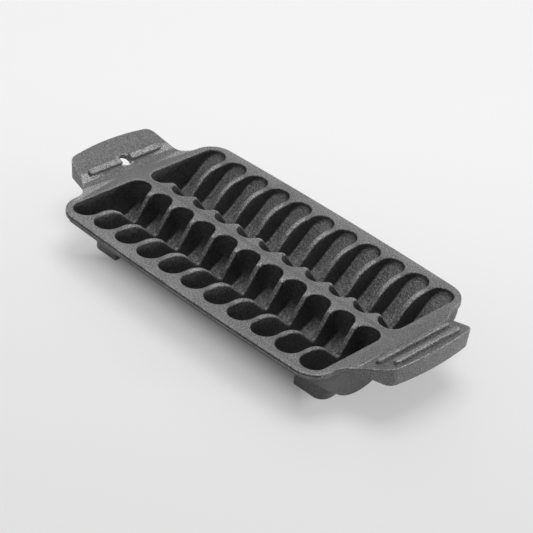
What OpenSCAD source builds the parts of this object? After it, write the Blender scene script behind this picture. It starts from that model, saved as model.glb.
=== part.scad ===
// Cast iron grill pan with two rows of deep wells, one shrimp to a well, and a sloping grip at each end.
// Millimetres. X runs along the pan, Y across it, Z up. The feet stand on z = 0, under the middle.
// The pan is one casting. Its regions are drawn one by one and meet face to face.

/* [Wells] */
// Distance from one well to the next along the pan
pitch = 23; // [21:0.1:27]
// Width of a well, which leaves the rib as the rest of the pitch
well_w = 18.9; // [17:0.1:19.8]
// Length of a well across the pan
well_len = 67.4; // [64:0.1:76]
// Width of the spine between the two rows
spine_w = 6.2; // [5.8:0.1:12]
// Depth of a well below the deck
bowl_d = 29.2; // [26:0.1:31.5]
// Radius of the bowl where its floor turns up to the long outer slope
bowl_r_out = 29.6; // [26:0.1:31]
// Radius of the bowl where its floor turns up to the spine
bowl_r_in = 15; // [12:0.1:17]
// Slope of the bowl's long outer side, in degrees
bowl_slope = 39.3; // [37:0.1:43]
// Draft of the bowl's wall at the spine, in degrees
bowl_draft = 5; // [2:0.1:7]
// Thickness of the bowl's wall
wall = 3.4; // [2.6:0.1:3.6]
// How far the rib ends stop short of the tips of the wells
flare_trim = 0.7; // [0.4:0.1:1.6]

/* [Ribs] */
// Length of a rib's level top at the outer end
rib_top_out = 13.8; // [10:0.1:16]
// Length of a rib's level top at the spine
rib_top_in = 5.4; // [4:0.1:7]
// Radius of the rib's outer shoulder
saddle_r_out = 27; // [20:0.1:30]
// Radius of the rib's shoulder at the spine
saddle_r_in = 7; // [5:0.1:9]
// Slope at the foot of the outer shoulder, in degrees
saddle_slope_out = 45; // [41:0.1:47]
// Slope at the foot of the spine shoulder, in degrees
saddle_slope_in = 55; // [50:0.1:60]
// Radius at the lowest point of the saddle
saddle_r_root = 2; // [1:0.1:3]

/* [Deck] */
// Thickness of the deck
plate_t = 4; // [3:0.1:5]
// Height of the deck's top above the table
stand_h = 37; // [36:0.1:50]
// Flat deck beyond the last well at each end
end_land = 6.05; // [5.5:0.05:12]
// Flat deck beyond the wells' tips at the middle of each long edge
side_land = 8.5; // [8.2:0.1:14]
// Height of the bow of each long edge
edge_h = 2.5; // [1:0.1:4]
// Corner radius of the deck
corner_r = 18; // [14:0.1:22]

/* [Bead] */
// How far the bead stands out past the deck's edge
bead_out = 0.9; // [0.4:0.1:2]
// How far the bead reaches in under the deck
bead_in = 1.3; // [0.8:0.1:1.6]
// Drop from the deck's top to the top of the bead
bead_top = 1.6; // [1:0.1:2.4]
// Drop from the deck's top to the bottom of the bead
bead_bottom = 5.4; // [5.2:0.1:8]
// Distance from the deck's end to the end of the bead
bead_end = 11.5; // [8:0.1:20]

/* [End walls] */
// Step from the deck's end in to the end wall
end_step = 0.5; // [0.2:0.1:1.2]
// Draft of the end walls, in degrees
end_draft = 5; // [2:0.1:6]
// Depth of the web between the two bowls, below the deck's top
web_d = 18; // [10:0.1:22]

/* [Grips] */
// How far a grip reaches beyond the deck
grip_reach = 35.5; // [33:0.1:45]
// Level part of a grip before it slopes up
grip_flat = 6.5; // [4:0.1:8]
// Slope of a grip, in degrees
grip_slope = 21.8; // [15:0.1:26]
// Radius of the bend from level to slope
bend_r = 12; // [6:0.1:16]
// Width of a grip where it meets the deck, measured between its straight sides
grip_root_w = 92.8; // [88:0.1:98]
// Width of a grip at its outer edge
grip_tip_w = 75; // [68:0.1:84]
// Radius of the bowed outer edge
grip_bow_r = 225; // [150:1:400]
// Corner radius of a grip
grip_corner_r = 8; // [6:0.1:12]
// Radius of the hollow corner between grip and deck
grip_root_r = 16; // [12:0.1:16.4]
// Thickness of a grip's skirt
skirt_t = 4; // [3:0.1:5]
// Drop from the deck's top to the skirt's lower edge
skirt_drop = 4; // [4:0.1:8]
// Draft of a skirt, in degrees
skirt_draft = 4.5; // [2:0.1:7]
// Diameter of the hanging hole
hole_d = 10; // [7:0.1:11]

/* [Grip bars] */
// Width of a raised bar
bar_w = 5; // [4:0.1:6]
// Height of a raised bar
bar_h = 2.7; // [1.8:0.1:3.5]
// Radius along a bar's upper edges
bar_edge_r = 1.2; // [0.6:0.1:1.8]
// Distance from the bend to the inner bars and the hole
bar_x_in = 8.4; // [7:0.1:10]
// Distance from the grip's outer edge in to the outer bar
bar_inset = 9; // [7:0.1:10]
// Length of the inner bars
bar_len_in = 69; // [56:0.1:72]
// Length of the outer bar
bar_len_out = 62; // [50:0.1:64]

/* [Feet] */
// Distance from the middle of the pan to the inner end of a foot
foot_x = 91.7; // [60:0.1:94]
// Length of a foot
foot_len = 26.1; // [20:0.1:28]
// Distance from the middle of the pan to a foot's outer face
foot_y = 52.6; // [46:0.1:56]
// Thickness of a foot
foot_t = 20; // [18:0.1:24]
// Corner radius of a foot's outer end
foot_r = 8.5; // [4:0.1:8.9]

/* [Hidden] */
$fn = 96;
bow_fn = 1440;
iron = [0.27, 0.27, 0.28];
iron_worn = [0.34, 0.34, 0.35];

// Wells in a row. There is a rib in each of the ten gaps.
wells_n = 11;
// Overrun of a cut past the face that it opens
over = 1;

// Places of the wells, measured from the middle of the pan
well_r = well_w / 2;
well_tip_in = spine_w / 2;
well_tip_out = well_tip_in + well_len;
row_x = (wells_n - 1) / 2 * pitch;
flank_x = row_x + well_r;
deck_x = flank_x + end_land;
deck_y = well_tip_out + side_land;

// The row opening and the bowl, in a section across the pan
open_in = well_tip_in + flare_trim;
open_out = well_tip_out - flare_trim;
out_z = bowl_r_out - bowl_d;
out_y = open_out - (bowl_r_out - (plate_t + out_z) * cos(bowl_slope)) / sin(bowl_slope);
in_z = bowl_r_in - bowl_d;
in_y = open_in + (bowl_r_in - (plate_t + in_z) * sin(bowl_draft)) / cos(bowl_draft);

// The bowed long edge and the corner that meets it
bow_r = (deck_x * deck_x + edge_h * edge_h) / (2 * edge_h);
bow_y = bow_r - deck_y;
corner_x = deck_x - corner_r;
corner_y = sqrt(pow(bow_r - corner_r, 2) - corner_x * corner_x) - bow_y;

// The saddle of a rib: two shoulder arcs, the straight flanks and where these cross
sho_out = well_tip_out - rib_top_out;
sho_in = well_tip_in + rib_top_in;
k_out = [sho_out - saddle_r_out * sin(saddle_slope_out), -saddle_r_out * (1 - cos(saddle_slope_out))];
k_in = [sho_in + saddle_r_in * sin(saddle_slope_in), -saddle_r_in * (1 - cos(saddle_slope_in))];
dir_out = [cos(saddle_slope_out), sin(saddle_slope_out)];
dir_in = [-cos(saddle_slope_in), sin(saddle_slope_in)];
dig = (k_out.x - k_in.x) * tan(saddle_slope_in) + k_out.y - k_in.y;
run_out = dig / (sin(saddle_slope_out) + cos(saddle_slope_out) * tan(saddle_slope_in));
root = k_out - run_out * dir_out;
root_half = (180 - saddle_slope_out - saddle_slope_in) / 2;
root_reach = saddle_r_root / tan(root_half);
root_mid = (dir_out + dir_in) / norm(dir_out + dir_in);
root_c = root + saddle_r_root / sin(root_half) * root_mid;

// The grip in plan at the deck's level, and its side view
bend_x = deck_x + grip_flat;
grip_rise = (grip_reach - grip_flat) * tan(grip_slope);
grip_x = deck_x + grip_reach - grip_rise * tan(skirt_draft);
side_k = (grip_root_w - grip_tip_w) / 2 / grip_reach;
side_a = atan(side_k);
bow_x = grip_x - grip_bow_r;
bow_in = grip_bow_r - grip_corner_r;
lane = grip_root_w / 2 - grip_corner_r / cos(side_a) + side_k * deck_x;
qa = 1 + side_k * side_k;
qb = bow_x + side_k * lane;
qc = bow_x * bow_x + lane * lane - bow_in * bow_in;
nose_x = (qb + sqrt(qb * qb - qa * qc)) / qa;
nose_y = lane - side_k * nose_x;
root_y = grip_root_w / 2 - side_k * grip_root_r + grip_root_r / cos(side_a);
bend_half = bend_r * tan(grip_slope / 2);
bar_x_out = grip_reach - grip_flat - bar_inset;
under_z = skirt_drop + plate_t;

module at_deck() {
    translate([0, 0, stand_h]) children();
}

module flip(hang, near) {
    mirror([hang ? 1 : 0, 0, 0]) mirror([0, near ? 1 : 0, 0]) children();
}

// A section drawn in Y and Z, drawn out along X from x0 to x1
module along_x(x0, x1) {
    translate([x0, 0, 0]) rotate([90, 0, 90]) linear_extrude(x1 - x0) children();
}

// The deck in plan, grown by g: two bowed edges, two ends and four corners
module deck_plan(g) {
    tangent_x = corner_x * (bow_r + g) / (bow_r - corner_r);
    intersection() {
        translate([0, -bow_y]) circle(bow_r + g, $fn = bow_fn);
        translate([0, bow_y]) circle(bow_r + g, $fn = bow_fn);
        square([2 * tangent_x, 4 * deck_y], center = true);
    }
    square([2 * (deck_x + g), 2 * corner_y], center = true);
    for (sx = [-1, 1], sy = [-1, 1]) translate([sx * corner_x, sy * corner_y]) circle(corner_r + g);
}

// One well in plan: a slot with round ends
module well_plan() {
    translate([0, well_tip_in + well_r]) circle(well_r);
    translate([0, well_tip_out - well_r]) circle(well_r);
    translate([-well_r, well_tip_in + well_r]) square([well_w, well_len - well_w]);
}

module well_cut(x) {
    translate([x, 0, -bowl_d - over]) linear_extrude(bowl_d + 2 * over) well_plan();
}

// The bowl in section below the deck, grown by g
module bowl_section(g) {
    ri = bowl_r_in + g;
    ro = bowl_r_out + g;
    intersection() {
        union() {
            polygon([[open_in - g / cos(bowl_draft), -plate_t],
                [in_y - ri * cos(bowl_draft), in_z - ri * sin(bowl_draft)],
                [in_y, in_z - ri],
                [out_y, out_z - ro],
                [out_y + ro * sin(bowl_slope), out_z - ro * cos(bowl_slope)],
                [open_out + g / sin(bowl_slope), -plate_t]]);
            translate([in_y, in_z]) circle(ri);
            intersection() {
                translate([out_y, out_z]) circle(ro);
                translate([out_y, out_z - ro]) square([ro, ro]);
            }
        }
        translate([0, -plate_t - bowl_d - g]) square([deck_y, bowl_d + g]);
    }
}

module saddle_section() {
    difference() {
        polygon([[sho_out, over], [sho_out, 0], k_out, root + root_reach * dir_out,
            root + root_reach * dir_in, k_in, [sho_in, 0], [sho_in, over]]);
        translate([sho_out, -saddle_r_out]) circle(saddle_r_out);
        translate([sho_in, -saddle_r_in]) circle(saddle_r_in);
    }
    translate(root_c) circle(saddle_r_root);
}

// The plan that the bowls and the end walls keep within
module skin_trim() {
    translate([0, 0, -bowl_d - wall - over]) linear_extrude(bowl_d + wall + over) deck_plan(-bead_in);
}

// Everything inward of the drafted end face
module end_trim() {
    translate([deck_x - end_step, 0, -plate_t]) rotate([0, end_draft, 0])
        translate([-2 * deck_x, -deck_y, -2 * bowl_d]) cube([2 * deck_x, 2 * deck_y, 4 * bowl_d]);
}

module deck_plate() color(iron_worn) at_deck() {
    difference() {
        translate([0, 0, -plate_t]) linear_extrude(plate_t) deck_plan(0);
        for (s = [0, 1]) mirror([0, s, 0]) {
            translate([-row_x, open_in, -plate_t - over])
                cube([2 * row_x, open_out - open_in, plate_t + 2 * over]);
            for (n = [0 : wells_n - 1]) well_cut(n * pitch - row_x);
        }
    }
}

module rim_bead(near) color(iron) at_deck() flip(false, near) {
    difference() {
        translate([0, 0, -bead_bottom]) linear_extrude(bead_bottom - bead_top) deck_plan(bead_out);
        translate([0, 0, -plate_t]) linear_extrude(plate_t) deck_plan(0);
        translate([0, 0, -bead_bottom - over]) linear_extrude(bead_bottom) deck_plan(-bead_in);
        for (s = [0, 1]) mirror([s, 0, 0]) translate([deck_x - bead_end, -2 * deck_y, -2 * bead_bottom])
            cube([deck_x, 4 * deck_y, 2 * bead_bottom]);
        translate([-2 * deck_x, -4 * deck_y, -2 * bead_bottom]) cube([4 * deck_x, 4 * deck_y, 2 * bead_bottom]);
    }
}

module bowl(near) color(iron) at_deck() flip(false, near) {
    intersection() {
        along_x(-flank_x, flank_x) difference() {
            bowl_section(wall);
            bowl_section(0);
        }
        skin_trim();
    }
}

module spine_web() color(iron) at_deck() {
    intersection() {
        along_x(-deck_x, deck_x) difference() {
            translate([-wall, -web_d]) square([2 * wall, web_d - plate_t]);
            bowl_section(wall);
            mirror([1, 0]) bowl_section(wall);
        }
        end_trim();
        mirror([1, 0, 0]) end_trim();
    }
}

// An end wall: a drafted D, and the filling round the last well's ends
module end_wall(hang, near) color(iron) at_deck() flip(hang, near) {
    intersection() {
        union() {
            intersection() {
                along_x(flank_x, deck_x) bowl_section(wall);
                end_trim();
            }
            difference() {
                along_x(row_x, flank_x) bowl_section(0);
                well_cut(row_x);
            }
        }
        skin_trim();
    }
}

// A rib between two wells: the bowl's section less the saddle, hollowed on each side by a well
module rib(n, near) color(iron_worn) at_deck() flip(false, near) {
    translate([n * pitch - row_x - pitch / 2, 0, 0]) difference() {
        along_x(-pitch / 2, pitch / 2) difference() {
            union() {
                translate([open_in, -plate_t]) square([open_out - open_in, plate_t]);
                bowl_section(0);
            }
            saddle_section();
        }
        for (s = [-1, 1]) well_cut(s * pitch / 2);
    }
}

// Half of a grip's straight width at x, drawn in by g
function grip_half(x, g) = grip_root_w / 2 - side_k * (x - deck_x) - g / cos(side_a);

// A grip in plan at the deck's level, drawn in by g: straight sides, two corners and a bowed edge.
// With rooted set, the hollow corners where it meets the deck are filled to their radius.
module grip_plan(g, rooted) {
    rc = grip_corner_r - g;
    bow_a = atan2(nose_y, nose_x - bow_x);
    near_x = deck_x - over;
    far_x = grip_x + grip_corner_r;
    far_y = (far_x - bow_x) * tan(bow_a);
    start = rooted ? [[near_x, root_y], [deck_x, root_y],
        [deck_x + grip_root_r * (1 - sin(side_a)), root_y - grip_root_r * cos(side_a)]]
        : [[near_x, grip_half(near_x, g)]];
    half = concat(start, [[far_x, grip_half(far_x, g)]]);
    difference() {
        intersection() {
            translate([bow_x, 0]) circle(grip_bow_r - g, $fn = bow_fn);
            polygon(concat(half, [for (i = [len(half) - 1 : -1 : 0]) [half[i].x, -half[i].y]]));
        }
        for (s = [0, 1]) mirror([0, s]) difference() {
            polygon([[nose_x, nose_y], [far_x, far_y], [far_x, grip_half(near_x, 0)],
                [nose_x + 2 * rc * sin(side_a), nose_y + 2 * rc * cos(side_a)]]);
            translate([nose_x, nose_y]) circle(rc);
        }
        if (rooted) for (s = [-1, 1]) translate([deck_x + grip_root_r, s * root_y]) circle(grip_root_r);
    }
}

// A prism that leans out by the skirt's draft, true at the deck's level
module leaning() {
    translate([deck_x, 0, 0]) rotate([0, skirt_draft, 0])
        translate([-deck_x, 0, -2 * under_z]) linear_extrude(2 * under_z + 2 * grip_rise) children();
}

// Side view of what lies under a grip's top, lowered by g
module grip_side(g) {
    knee_x = bend_x + g * tan(grip_slope / 2);
    end_x = deck_x + grip_reach + grip_corner_r;
    arc_r = bend_r + g;
    translate([0, grip_root_w, 0]) rotate([90, 0, 0]) linear_extrude(2 * grip_root_w) difference() {
        polygon([[deck_x, -under_z], [deck_x, -g], [bend_x - bend_half, -g],
            [bend_x - bend_half + arc_r * sin(grip_slope), bend_r - arc_r * cos(grip_slope)],
            [end_x, (end_x - knee_x) * tan(grip_slope) - g], [end_x, -under_z]]);
        translate([bend_x - bend_half, bend_r]) circle(arc_r);
    }
}

// Moves to a place on the slope, u along X from the bend, with Z square to the slope
module on_slope(u) {
    translate([bend_x, 0, 0]) rotate([0, -grip_slope, 0]) translate([u / cos(grip_slope), 0, 0]) children();
}

module hanging_hole() {
    on_slope(bar_x_in) translate([0, 0, -plate_t - over]) cylinder(d = hole_d, h = plate_t + bar_h + 2 * over);
}

module grip_plate(hang) color(iron_worn) at_deck() flip(hang, false) {
    difference() {
        intersection() {
            leaning() grip_plan(0, true);
            difference() {
                grip_side(0);
                grip_side(plate_t);
            }
        }
        if (hang) hanging_hole();
    }
}

module grip_skirt(hang) color(iron) at_deck() flip(hang, false) {
    intersection() {
        difference() {
            leaning() grip_plan(0, true);
            leaning() grip_plan(skirt_t, false);
        }
        grip_side(plate_t);
        translate([bend_x, -grip_root_w, -skirt_drop]) cube([grip_reach, 2 * grip_root_w, skirt_drop + grip_rise]);
    }
}

// Half a bar in section, from its middle line out
module bar_section() {
    translate([bar_w / 2 - bar_edge_r, bar_h - bar_edge_r]) circle(bar_edge_r);
    square([bar_w / 2 - bar_edge_r, bar_h]);
    square([bar_w / 2, bar_h - bar_edge_r]);
}

// A bar of length len across the slope, with rounded upper edges and round ends
module bar(u, len) {
    reach = (len - bar_w) / 2;
    on_slope(u) {
        for (s = [-1, 1]) translate([0, s * reach, 0]) rotate_extrude() bar_section();
        translate([0, reach, 0]) rotate([90, 0, 0]) linear_extrude(2 * reach) {
            bar_section();
            mirror([1, 0]) bar_section();
        }
    }
}

module grip_hang_bar(near) color(iron_worn) at_deck() flip(true, near) {
    difference() {
        bar(bar_x_in, bar_len_in);
        hanging_hole();
        translate([deck_x, -bar_len_in, -under_z]) cube([grip_reach, bar_len_in, 2 * under_z + 2 * grip_rise]);
    }
}

module foot(hang, near) color(iron) at_deck() flip(hang, near) {
    difference() {
        translate([foot_x, foot_y - foot_t, -stand_h]) linear_extrude(stand_h - bowl_d / 2) {
            square([foot_len - foot_r, foot_t]);
            translate([0, foot_r]) square([foot_len, foot_t - 2 * foot_r]);
            for (y = [foot_r, foot_t - foot_r]) translate([foot_len - foot_r, y]) circle(foot_r);
        }
        along_x(foot_x - over, foot_x + foot_len + over) bowl_section(wall);
    }
}

module rim_bead_near() rim_bead(true);
module rim_bead_far() rim_bead(false);
module bowl_near() bowl(true);
module bowl_far() bowl(false);
module end_wall_hang_near() end_wall(true, true);
module end_wall_hang_far() end_wall(true, false);
module end_wall_plain_near() end_wall(false, true);
module end_wall_plain_far() end_wall(false, false);
module rib_near_01() rib(1, true);
module rib_near_02() rib(2, true);
module rib_near_03() rib(3, true);
module rib_near_04() rib(4, true);
module rib_near_05() rib(5, true);
module rib_near_06() rib(6, true);
module rib_near_07() rib(7, true);
module rib_near_08() rib(8, true);
module rib_near_09() rib(9, true);
module rib_near_10() rib(10, true);
module rib_far_01() rib(1, false);
module rib_far_02() rib(2, false);
module rib_far_03() rib(3, false);
module rib_far_04() rib(4, false);
module rib_far_05() rib(5, false);
module rib_far_06() rib(6, false);
module rib_far_07() rib(7, false);
module rib_far_08() rib(8, false);
module rib_far_09() rib(9, false);
module rib_far_10() rib(10, false);
module grip_hang_plate() grip_plate(true);
module grip_hang_skirt() grip_skirt(true);
module grip_plain_plate() grip_plate(false);
module grip_plain_skirt() grip_skirt(false);
module grip_hang_bar_near() grip_hang_bar(true);
module grip_hang_bar_far() grip_hang_bar(false);
module grip_plain_bar_inner() color(iron_worn) at_deck() bar(bar_x_in, bar_len_in);
module grip_plain_bar_outer() color(iron_worn) at_deck() bar(bar_x_out, bar_len_out);
module foot_hang_near() foot(true, true);
module foot_hang_far() foot(true, false);
module foot_plain_near() foot(false, true);
module foot_plain_far() foot(false, false);

deck_plate();
rim_bead_near();
rim_bead_far();
spine_web();
bowl_near();
bowl_far();
end_wall_hang_near();
end_wall_hang_far();
end_wall_plain_near();
end_wall_plain_far();
rib_near_01();
rib_near_02();
rib_near_03();
rib_near_04();
rib_near_05();
rib_near_06();
rib_near_07();
rib_near_08();
rib_near_09();
rib_near_10();
rib_far_01();
rib_far_02();
rib_far_03();
rib_far_04();
rib_far_05();
rib_far_06();
rib_far_07();
rib_far_08();
rib_far_09();
rib_far_10();
grip_hang_plate();
grip_hang_skirt();
grip_plain_plate();
grip_plain_skirt();
grip_hang_bar_near();
grip_hang_bar_far();
grip_plain_bar_inner();
grip_plain_bar_outer();
foot_hang_near();
foot_hang_far();
foot_plain_near();
foot_plain_far();
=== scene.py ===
"""A cast iron grill pan for shrimp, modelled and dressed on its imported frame.

Sizes are in millimetres, as a pattern maker writes them, with the deck's top at height zero.
A finished piece is scaled to metres and lifted onto its feet as the last step of its making.
"""

import logging
import math
from dataclasses import dataclass, field
from enum import Enum
from typing import Callable

import bmesh
import bpy
from mathutils import Matrix, Vector


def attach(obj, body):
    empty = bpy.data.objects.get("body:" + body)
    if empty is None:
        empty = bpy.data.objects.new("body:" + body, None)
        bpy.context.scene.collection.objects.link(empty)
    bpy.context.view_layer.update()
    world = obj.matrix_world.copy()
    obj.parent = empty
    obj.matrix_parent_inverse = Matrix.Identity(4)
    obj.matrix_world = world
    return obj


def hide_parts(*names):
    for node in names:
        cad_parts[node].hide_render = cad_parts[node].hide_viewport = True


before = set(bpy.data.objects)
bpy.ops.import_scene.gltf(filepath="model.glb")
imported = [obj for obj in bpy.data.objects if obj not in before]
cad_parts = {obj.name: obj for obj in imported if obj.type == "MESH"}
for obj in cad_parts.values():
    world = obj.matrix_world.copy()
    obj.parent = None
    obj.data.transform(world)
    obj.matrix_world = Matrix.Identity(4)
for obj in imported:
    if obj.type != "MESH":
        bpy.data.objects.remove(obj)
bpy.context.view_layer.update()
LOG = logging.getLogger("grill_pan")
Point = tuple[float, float]
Place = tuple[float, float, float]
Colour = tuple[float, float, float, float]
Value = bpy.types.NodeSocket | float | Colour
Inputs = dict[str | int, Value]
EdgeTest = Callable[[Vector, Vector, Vector], bool]
FaceTest = Callable[[bmesh.types.BMFace], bool]
VertTest = Callable[[bmesh.types.BMVert], bool]

# How far a blank or a cutter reaches past the shape that it makes, and the heights that it spans.
CLEAR = 5.0
BELOW, ABOVE = -45.0, 30.0
# The least upward share of a level face's normal, and the most of a wall's.
LEVEL = 0.8
WALL = 0.2
# Facets in a bend between the deck and a grip, and in a half turn.
BEND_STEPS = 5
HALF_TURN_STEPS = 16


class Sheet(Enum):
    """The plane that an outline is drawn on: its two directions, and the axis of its arcs."""

    PLAN = ((1.0, 0.0, 0.0), (0.0, 1.0, 0.0), (0.0, 0.0, 1.0))
    ACROSS = ((0.0, 1.0, 0.0), (0.0, 0.0, 1.0), (1.0, 0.0, 0.0))
    ALONG = ((1.0, 0.0, 0.0), (0.0, 0.0, 1.0), (0.0, -1.0, 0.0))

    def place(self, point: Point) -> Vector:
        """Turns a point, as drawn on the plane, into a place in the room."""
        return Vector(self.value[0]) * point[0] + Vector(self.value[1]) * point[1]

    def normal(self) -> Vector:
        """The direction that turns an arc anticlockwise as drawn."""
        return Vector(self.value[2])


class Cut(Enum):
    """What one solid does to another."""

    ADD = "UNION"
    TAKE = "DIFFERENCE"
    KEEP = "INTERSECT"


class Side(Enum):
    """The two long sides of the pan."""

    NEAR = "near"
    FAR = "far"


class End(Enum):
    """The two ends of the pan: the grip with the hole, and the plain one."""

    HANG = "hang"
    PLAIN = "plain"


@dataclass(frozen=True)
class PanSizes:
    """The casting's sizes, in millimetres and degrees, and the places worked out from them."""

    pitch: float = 23.0
    wells: int = 11
    well_w: float = 18.9
    well_len: float = 67.4
    spine_w: float = 6.2
    bowl_r_out: float = 29.6
    bowl_r_in: float = 15.0
    bowl_slope: float = 39.3
    wall: float = 3.4
    plate_t: float = 4.0
    stand_h: float = 37.0
    end_land: float = 6.05
    side_land: float = 8.5
    edge_h: float = 2.5
    corner_r: float = 18.0

    @property
    def well_r(self) -> float:
        """Radius of a well's round ends."""
        return self.well_w / 2

    @property
    def tip_in(self) -> float:
        """Distance from the middle line to a well's tip at the spine."""
        return self.spine_w / 2

    @property
    def tip_out(self) -> float:
        """Distance from the middle line to a well's outer tip."""
        return self.tip_in + self.well_len

    @property
    def ends(self) -> Point:
        """Distances from the middle line to the centres of a well's round ends."""
        return (self.tip_in + self.well_r, self.tip_out - self.well_r)

    @property
    def row_x(self) -> float:
        """Distance from the middle to the last well."""
        return (self.wells - 1) / 2 * self.pitch

    @property
    def deck_x(self) -> float:
        """Half the deck's length."""
        return self.row_x + self.well_r + self.end_land

    @property
    def deck_y(self) -> float:
        """Half the deck's width at the middle."""
        return self.tip_out + self.side_land

    @property
    def bow_r(self) -> float:
        """Radius of the bowed long edge."""
        return (self.deck_x**2 + self.edge_h**2) / (2 * self.edge_h)

    @property
    def corner(self) -> Vector:
        """Finds the centre of a deck corner, in plan.

        Returns:
            The centre.
        """
        x = self.deck_x - self.corner_r
        reach = math.sqrt((self.bow_r - self.corner_r) ** 2 - x * x)
        return Vector((x, reach - self.bow_r + self.deck_y))


PAN = PanSizes()


def on_circle(centre: Point, radius: float, degrees: float) -> Point:
    """Finds the place at an angle on a circle.

    Args:
        centre: The circle's centre.
        radius: Its radius.
        degrees: The angle, anticlockwise from the first axis.

    Returns:
        The place.
    """
    turn = math.radians(degrees)
    return (centre[0] + radius * math.cos(turn), centre[1] + radius * math.sin(turn))


def only(piece: bpy.types.Object) -> None:
    """Selects one object and makes it the active one.

    Args:
        piece: The object to work on.
    """
    bpy.ops.object.select_all(action="DESELECT")
    piece.select_set(True)
    bpy.context.view_layer.objects.active = piece


def pick_faces(piece: bpy.types.Object, wanted: FaceTest) -> None:
    """Selects the faces that pass a test, and no others, on a piece in edit mode.

    Args:
        piece: The piece that is being edited.
        wanted: The test.
    """
    mesh = bmesh.from_edit_mesh(piece.data)
    for face in mesh.faces:
        face.select_set(wanted(face))
    bmesh.update_edit_mesh(piece.data)


def pick_verts(piece: bpy.types.Object, wanted: VertTest) -> None:
    """Selects the points that pass a test, and no others, on a piece in edit mode.

    Args:
        piece: The piece that is being edited.
        wanted: The test.
    """
    mesh = bmesh.from_edit_mesh(piece.data)
    for vert in mesh.verts:
        vert.select_set(wanted(vert))
    mesh.select_flush_mode()
    bmesh.update_edit_mesh(piece.data)


class Outline:
    """A closed outline, drawn with a pen that runs lines and arcs, and then made a solid."""

    def __init__(self, name: str, sheet: Sheet, start: Point) -> None:
        """Puts the pen down.

        Args:
            name: The name of the object to make.
            sheet: The plane to draw on.
            start: The first point.
        """
        bpy.ops.object.select_all(action="DESELECT")
        bpy.ops.mesh.primitive_plane_add(size=2.0, location=sheet.place(start))
        self.piece = bpy.context.object
        self.piece.name = name
        self.sheet = sheet
        self.pen = Vector(start)
        bpy.ops.object.transform_apply(location=True, rotation=False, scale=False)
        bpy.ops.object.mode_set(mode="EDIT")
        bpy.ops.mesh.select_mode(type="VERT")
        bpy.ops.mesh.select_all(action="SELECT")
        bpy.ops.mesh.merge(type="CENTER")

    def line(self, to: Point) -> None:
        """Draws a straight line.

        Args:
            to: The line's far end.
        """
        step = self.sheet.place(to) - self.sheet.place(tuple(self.pen))
        bpy.ops.mesh.extrude_vertices_move(TRANSFORM_OT_translate={"value": step})
        self.pen = Vector(to)

    def arc(self, centre: Point, degrees: float, steps: int) -> None:
        """Draws an arc from the pen's place, anticlockwise where the angle is positive.

        Args:
            centre: The arc's centre.
            degrees: How far it turns.
            steps: The number of short edges in it.
        """
        bpy.ops.mesh.spin(
            steps=steps,
            angle=math.radians(-degrees),
            center=self.sheet.place(centre),
            axis=self.sheet.normal(),
        )
        turned = self.pen - Vector(centre)
        turned.rotate(Matrix.Rotation(math.radians(degrees), 2))
        self.pen = Vector(centre) + turned

    def close(self, low: float, high: float) -> bpy.types.Object:
        """Closes the outline and draws it out into a solid, square to the sheet.

        Args:
            low: Where the solid starts, along the sheet's third direction.
            high: Where it ends.

        Returns:
            The solid.
        """
        up = self.sheet.normal()
        up = Vector((abs(up.x), abs(up.y), abs(up.z)))
        bpy.ops.mesh.select_all(action="SELECT")
        bpy.ops.mesh.remove_doubles(threshold=1e-4)
        bpy.ops.mesh.edge_face_add()
        bpy.ops.transform.translate(value=up * low)
        bpy.ops.mesh.extrude_region_move(TRANSFORM_OT_translate={"value": up * (high - low)})
        bpy.ops.mesh.select_all(action="SELECT")
        bpy.ops.mesh.normals_make_consistent(inside=False)
        bpy.ops.object.mode_set(mode="OBJECT")
        return self.piece


def round_slot(name: str, radius: float, low: float, high: float) -> Outline:
    """Draws a slot with round ends, in plan, that runs across the pan.

    Args:
        name: The name of the object to make.
        radius: Radius of the round ends.
        low: Centre of the end nearer the middle line.
        high: Centre of the other end.

    Returns:
        The outline, ready to close.
    """
    pen = Outline(name, Sheet.PLAN, (radius, low))
    pen.line((radius, high))
    pen.arc((0.0, high), 180.0, HALF_TURN_STEPS)
    pen.line((-radius, low))
    pen.arc((0.0, low), 180.0, HALF_TURN_STEPS)
    return pen


def carve(piece: bpy.types.Object, tool: bpy.types.Object, how: Cut) -> None:
    """Adds a solid to a piece, takes it away, or keeps what lies in both. The tool is used up.

    Args:
        piece: The piece that changes.
        tool: The other solid.
        how: Which of the three.
    """
    only(piece)
    bpy.ops.object.modifier_add(type="BOOLEAN")
    step = piece.modifiers[-1]
    step.operation = how.value
    step.solver = "EXACT"
    step.object = tool
    bpy.ops.object.modifier_apply(modifier=step.name)
    bpy.data.objects.remove(tool)


def slice_off(piece: bpy.types.Object, at: Vector, away: Vector) -> None:
    """Cuts a piece with a plane and closes the cut.

    Args:
        piece: The piece to cut.
        at: A place on the plane.
        away: The side that is thrown away.
    """
    only(piece)
    bpy.ops.object.mode_set(mode="EDIT")
    bpy.ops.mesh.select_all(action="SELECT")
    bpy.ops.mesh.bisect(plane_co=at, plane_no=away, use_fill=True, clear_outer=True)
    bpy.ops.object.mode_set(mode="OBJECT")


def close_gaps(piece: bpy.types.Object, reach: float) -> None:
    """Merges the points of a piece that lie closer together than a reach.

    Args:
        piece: The piece to work on.
        reach: The reach, in the piece's own units.
    """
    only(piece)
    bpy.ops.object.mode_set(mode="EDIT")
    bpy.ops.mesh.select_all(action="SELECT")
    bpy.ops.mesh.remove_doubles(threshold=reach)
    bpy.ops.mesh.normals_make_consistent(inside=False)
    bpy.ops.object.mode_set(mode="OBJECT")


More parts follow.
